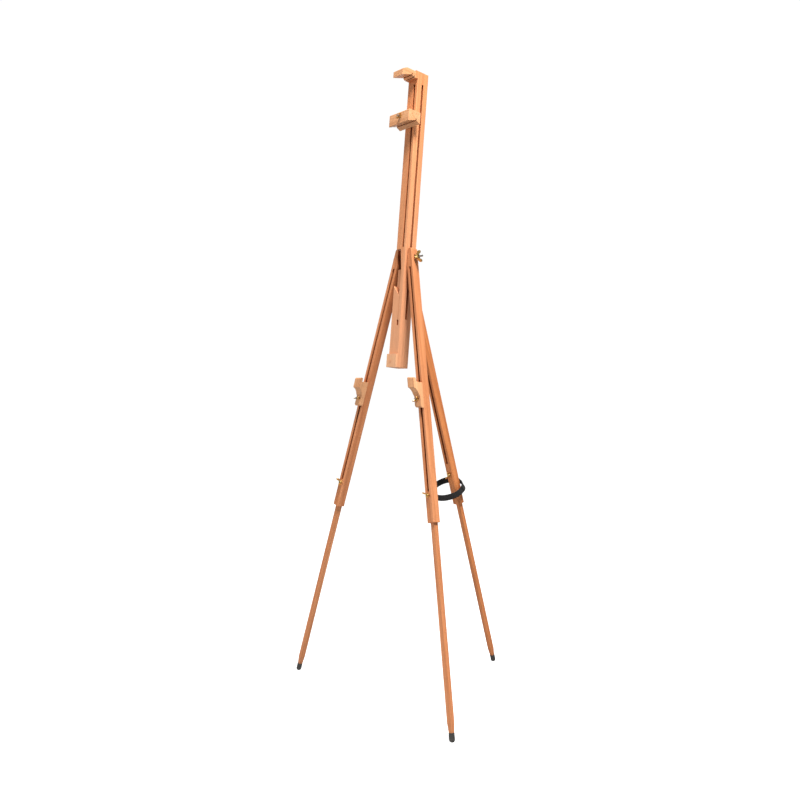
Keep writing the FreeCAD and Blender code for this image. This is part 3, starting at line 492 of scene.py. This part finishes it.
def band(name, start, stop, steps, closed, width, stand_off):
    """A flat tape with softly rounded edges that follows the loop from one turn to another."""
    section = [(across * width / 2, out * STRAP_THICKNESS / 2) for across, out in TAPE_SECTION]
    rings = steps if closed else steps + 1
    points, weave = [], []
    travelled = 0.0
    previous = None
    for ring in range(rings):
        here, outward, up = strap_line(start + (stop - start) * ring / steps)
        if previous is not None:
            travelled += (here - previous).length
        previous = here
        for across, out in section:
            points.append(here + up * across + outward * (out + stand_off))
            weave.extend((travelled, across, out))
    mesh = bpy.data.meshes.new(name)
    mesh.from_pydata(points, [], tape_faces(rings, len(section), closed))
    point_layer(mesh, "weave", "FLOAT_VECTOR", "vector", weave)
    mesh.materials.append(webbing)
    mesh.shade_smooth()
    item = bpy.data.objects.new(name, mesh)
    bpy.context.scene.collection.objects.link(item)
    return item


strap = band("strap_loop", 0, math.tau, STRAP_STEPS, True, STRAP_WIDTH, 0.0)
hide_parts("tie_strap")
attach(strap, "rear_leg")
lap = band("strap_lap", LAP_START, LAP_STOP, LAP_STEPS, False, LAP_WIDTH, STRAP_THICKNESS)
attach(lap, "rear_leg")


# --------------------------------------------------------------------------------------------------
# the studio: a pale floor and a white room, both brighter to the camera than as light, and three soft lights
# --------------------------------------------------------------------------------------------------

FLOOR_GLOW = 0.90
FLOOR_HALF = 14.0
ROOM_LIGHT = 0.30
ROOM_SEEN = 1.02
LIT_POINT = Vector((0, -0.1, 1.1))
CAMERA_PLACE = (1.97508, -1.85898, 0.98811)
CAMERA_AIM = Vector((-0.75653, 0.65364, -0.02014))
CAMERA_LENS = 36.8
CAMERA_SENSOR = 36


def studio_floor():
    """A pale floor that glows to the camera only."""
    m = Material("studio_floor")
    place = m.add("ShaderNodeTexCoord").outputs["Object"]
    cloud = m.noise(place, (3, 3, 3), 3.0)
    seen = m.add("ShaderNodeLightPath").outputs["Is Camera Ray"]
    tone = m.mix(m.span(cloud, 0.3, 0.7), colour(0.40, 0.40, 0.40), colour(0.44, 0.44, 0.435))
    return m.finish(
        Base_Color=tone, Roughness=0.75, Specular_IOR_Level=0.2, Emission_Color=WHITE,
        Emission_Strength=m.math("MULTIPLY", seen, FLOOR_GLOW),
    )


def lay_floor():
    mesh = bpy.data.meshes.new("studio_floor")
    corners = [(x * FLOOR_HALF, y * FLOOR_HALF, 0) for x, y in ((-1, -1), (1, -1), (1, 1), (-1, 1))]
    mesh.from_pydata(corners, [], [(0, 1, 2, 3)])
    mesh.materials.append(studio_floor())
    floor = bpy.data.objects.new("studio_floor", mesh)
    bpy.context.scene.collection.objects.link(floor)


def white_room():
    """Surroundings that are white to the camera and dimmer as a light."""
    world = bpy.data.worlds.new("white_room")
    bpy.context.scene.world = world
    world.use_nodes = True
    tree = world.node_tree
    backdrop = tree.nodes["Background"]
    backdrop.inputs["Color"].default_value = WHITE
    seen = tree.nodes.new("ShaderNodeLightPath")
    strength = tree.nodes.new("ShaderNodeMapRange")
    strength.inputs["To Min"].default_value = ROOM_LIGHT
    strength.inputs["To Max"].default_value = ROOM_SEEN
    tree.links.new(seen.outputs["Is Camera Ray"], strength.inputs["Value"])
    tree.links.new(strength.outputs["Result"], backdrop.inputs["Strength"])


def soft_light(name, place, size, power, tint=(1, 1, 1)):
    """A square lamp, its size in metres and its power in watts, that faces the easel's middle."""
    data = bpy.data.lights.new(name, "AREA")
    data.shape = "SQUARE"
    data.size = size
    data.energy = power
    data.color = tint
    item = bpy.data.objects.new(name, data)
    item.location = place
    item.rotation_euler = (LIT_POINT - Vector(place)).to_track_quat("-Z", "Y").to_euler()
    bpy.context.scene.collection.objects.link(item)


def place_camera():
    data = bpy.data.cameras.new("camera")
    data.sensor_width = CAMERA_SENSOR
    data.lens = CAMERA_LENS
    camera = bpy.data.objects.new("camera", data)
    camera.location = CAMERA_PLACE
    camera.rotation_euler = CAMERA_AIM.to_track_quat("-Z", "Y").to_euler()
    bpy.context.scene.collection.objects.link(camera)
    bpy.context.scene.camera = camera


lay_floor()
white_room()
soft_light("key", (1.9, -0.6, 4.9), 1.2, 430, (1.0, 0.985, 0.96))
soft_light("fill", (-0.9, -3.9, 1.3), 2.2, 48)
soft_light("back", (-2.6, 3.0, 2.6), 2.0, 25)
place_camera()
bpy.context.scene.view_settings.view_transform = "Standard"
